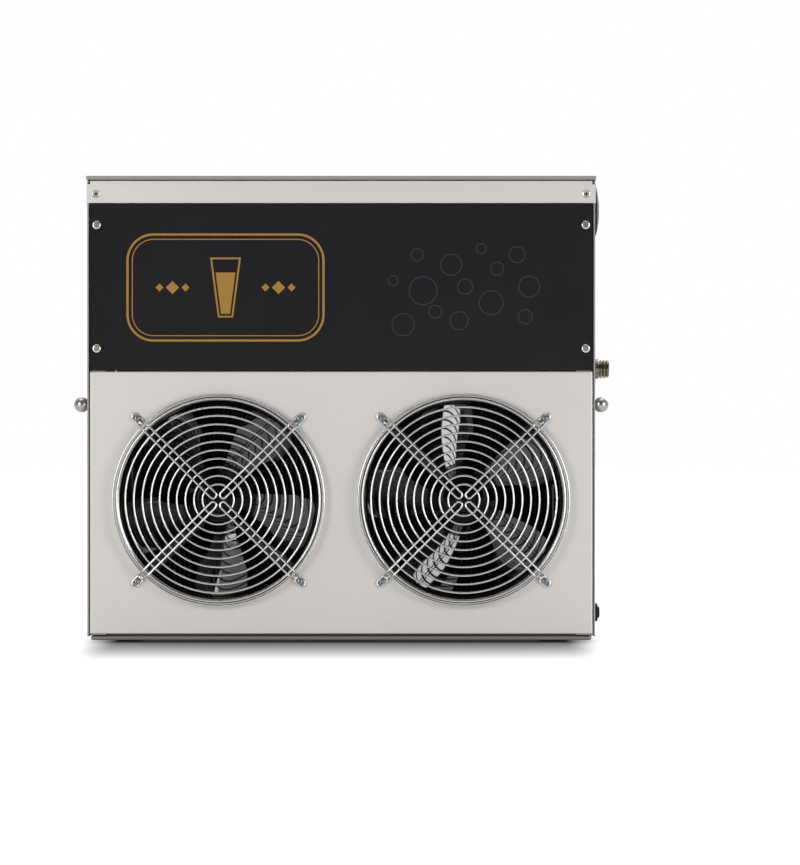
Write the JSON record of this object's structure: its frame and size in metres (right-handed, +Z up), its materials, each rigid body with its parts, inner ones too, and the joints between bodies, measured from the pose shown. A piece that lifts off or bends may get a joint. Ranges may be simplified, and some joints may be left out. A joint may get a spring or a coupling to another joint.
{
  "type": "draft beer dispenser",
  "caption": "Countertop draft beer cooler and dispenser in a sheet steel box, with fans behind wire guards, taps and a drip tray.",
  "frame": {"origin": "on the surface that the feet stand on, under the middle of the whole object", "axes": "-Y is the fan side that faces the guests, +Y the tap side, +X the side with the beer inlets, +Z up"},
  "size_m": [0.5378, 0.5364, 0.467],
  "materials": {
    "steel_front": "satin",
    "steel_sheet": "satin",
    "steel_inner": "dull",
    "screw_steel": "bright",
    "zinc_screw": "zinc plated",
    "polished_steel": "polished",
    "guard_wire": "bright zinc",
    "duct_metal": "bright",
    "blade_metal": "polished",
    "black_gloss": "gloss",
    "black_plastic": "semi matte",
    "black_rubber": "matte",
    "black_paint": "semi gloss",
    "nickel_brass": "dark nickel over brass",
    "copper": "copper",
    "fin_aluminium": "mill finish",
    "foam": "closed cell foam",
    "chrome": "mirror"
  },
  "bodies": {
    "cabinet": {"rubber_feet": "black_rubber", "base_pan": "steel_sheet", "side_panel_left": "steel_sheet", "side_panel_right": "steel_sheet", "corner_posts": "steel_inner", "front_sill": "steel_inner", "fan_panel": "steel_front", "fascia": "black_gloss", "fascia_screws": "screw_steel", "top_collar": "steel_front", "top_lid": "steel_sheet", "collar_screws": "screw_steel", "divider_shelf": "steel_inner", "guard_screws": "zinc_screw", "inlet_fittings": "nickel_brass", "inlet_nuts": "nickel_brass", "cable_gland": "black_plastic", "thermostat_body": "black_plastic", "condenser_core": "fin_aluminium", "condenser_frame": "steel_inner", "condenser_bends": "copper", "compressor_grommets": "black_rubber", "compressor_base": "black_paint", "compressor_shell": "black_paint", "compressor_works": "steel_inner", "terminal_cover": "black_plastic", "copper_pipes": "copper", "filter_drier": "copper", "insulation_box": "foam", "cold_block": "fin_aluminium", "beer_lines": "steel_inner", "tap_panel": "steel_front", "vent_panel": "steel_front", "back_screws": "screw_steel", "tap_shanks": "chrome", "shank_nuts": "nickel_brass", "tray_hook": "steel_sheet", "switch_bezel": "black_plastic", "fan_motors": "black_paint", "motor_brackets": "black_paint", "fan_guard_left": "guard_wire", "fan_guard_right": "guard_wire", "bell_mouth_left": "duct_metal", "bell_mouth_right": "duct_metal", "tap_body_left": "chrome", "tap_body_right": "chrome"},
    "fan_left": {"fan_wheel_left": "blade_metal"},
    "fan_right": {"fan_wheel_right": "blade_metal"},
    "dial": {"thermostat_dial": "black_plastic"},
    "knob_left": {"ball_knob_left": "polished_steel"},
    "knob_right": {"ball_knob_right": "polished_steel"},
    "lever_left": {"tap_lever_left": "chrome", "tap_handle_left": "black_plastic"},
    "lever_right": {"tap_lever_right": "chrome", "tap_handle_right": "black_plastic"},
    "flow_left": {"flow_lever_left": "chrome"},
    "flow_right": {"flow_lever_right": "chrome"},
    "tray": {"drip_tray": "steel_sheet"},
    "grid": {"drip_grid": "steel_front"},
    "rocker": {"switch_rocker": "black_plastic"}
  },
  "joints": [
    {"name": "fan_left_spin", "type": "hinge", "parent": "cabinet", "child": "fan_left", "pos_m": [-0.1225, -0.2346, 0.1428], "axis": [0, -1, 0], "continuous": true},
    {"name": "knob_left_turn", "type": "hinge", "parent": "cabinet", "child": "knob_left", "pos_m": [-0.2602, -0.2441, 0.238], "axis": [-1, 0, 0], "range_deg": [-360, 0]},
    {"name": "lever_left_pull", "type": "hinge", "parent": "cabinet", "child": "lever_left", "pos_m": [-0.08, 0.1599, 0.352], "axis": [-1, 0, 0], "range_deg": [0, 50]},
    {"name": "flow_left_turn", "type": "hinge", "parent": "cabinet", "child": "flow_left", "pos_m": [-0.08, 0.1569, 0.33], "axis": [1, 0, 0], "range_deg": [0, 90]},
    {"name": "fan_right_spin", "type": "hinge", "parent": "cabinet", "child": "fan_right", "pos_m": [0.1225, -0.2346, 0.1428], "axis": [0, -1, 0], "continuous": true},
    {"name": "knob_right_turn", "type": "hinge", "parent": "cabinet", "child": "knob_right", "pos_m": [0.2602, -0.2441, 0.238], "axis": [1, 0, 0], "range_deg": [-360, 0]},
    {"name": "lever_right_pull", "type": "hinge", "parent": "cabinet", "child": "lever_right", "pos_m": [0.08, 0.1599, 0.352], "axis": [-1, 0, 0], "range_deg": [0, 50]},
    {"name": "flow_right_turn", "type": "hinge", "parent": "cabinet", "child": "flow_right", "pos_m": [0.08, 0.1569, 0.33], "axis": [1, 0, 0], "range_deg": [0, 90]},
    {"name": "dial_turn", "type": "hinge", "parent": "cabinet", "child": "dial", "pos_m": [0.258, -0.2101, 0.434], "axis": [1, 0, 0], "range_deg": [-270, 0]},
    {"name": "tray_lift", "type": "slide", "parent": "cabinet", "child": "tray", "axis": [0, 0, 1], "range_m": [0, 0.04]},
    {"name": "grid_lift", "type": "slide", "parent": "tray", "child": "grid", "axis": [0, 0, 1], "range_m": [0, 0.04]},
    {"name": "switch_rock", "type": "hinge", "parent": "cabinet", "child": "rocker", "pos_m": [0.19, 0.1239, 0.18], "axis": [1, 0, 0], "range_deg": [-8, 8]}
  ]
}
